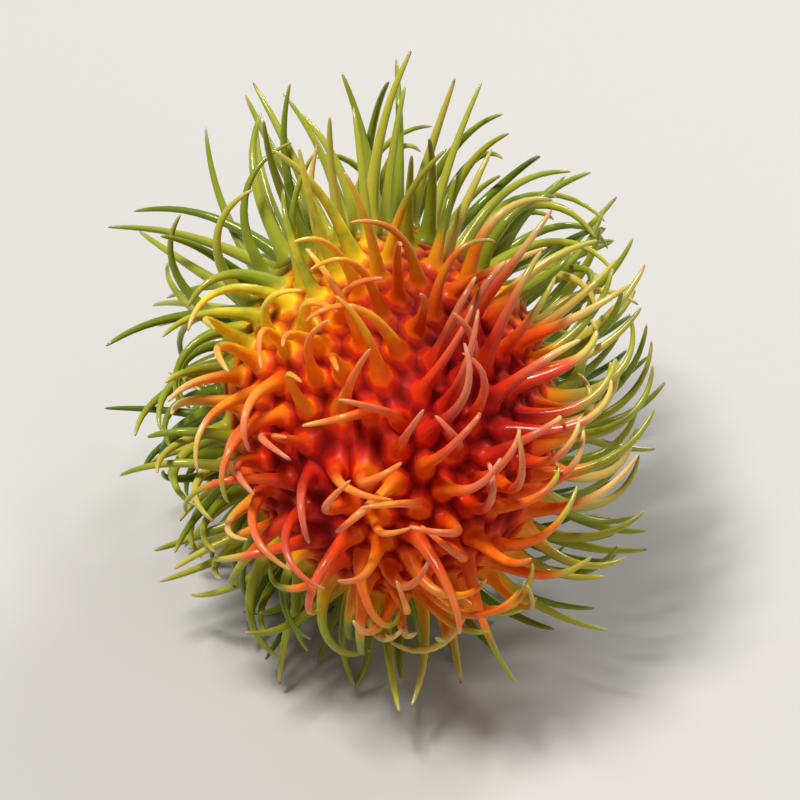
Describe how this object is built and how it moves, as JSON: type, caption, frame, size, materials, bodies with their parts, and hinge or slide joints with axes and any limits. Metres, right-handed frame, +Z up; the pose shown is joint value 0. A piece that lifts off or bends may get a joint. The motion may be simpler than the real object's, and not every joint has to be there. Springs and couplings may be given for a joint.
{
  "type": "rambutan fruit",
  "caption": "Egg-shaped tropical fruit with a leathery red, orange and green rind covered in long soft curved spines, and the stub of its stalk at one end.",
  "frame": {"origin": "on the surface that the fruit lies on, under the middle of the box round all its spines", "axes": "+Y runs along the fruit from its blossom end to its stalk end, +Z is up, and +X is to the right when the fruit is seen from its blossom end"},
  "size_m": [0.0644, 0.0744, 0.0559],
  "materials": {
    "spiny_rind": "waxy skin, red to orange on one side, with spines that turn green and yellow towards their tips",
    "stalk_stub": "dry brown bark with a torn pale end"
  },
  "bodies": {
    "root": {"spiny_rind": "spiny_rind", "stalk_stub": "stalk_stub"}
  },
  "joints": []
}
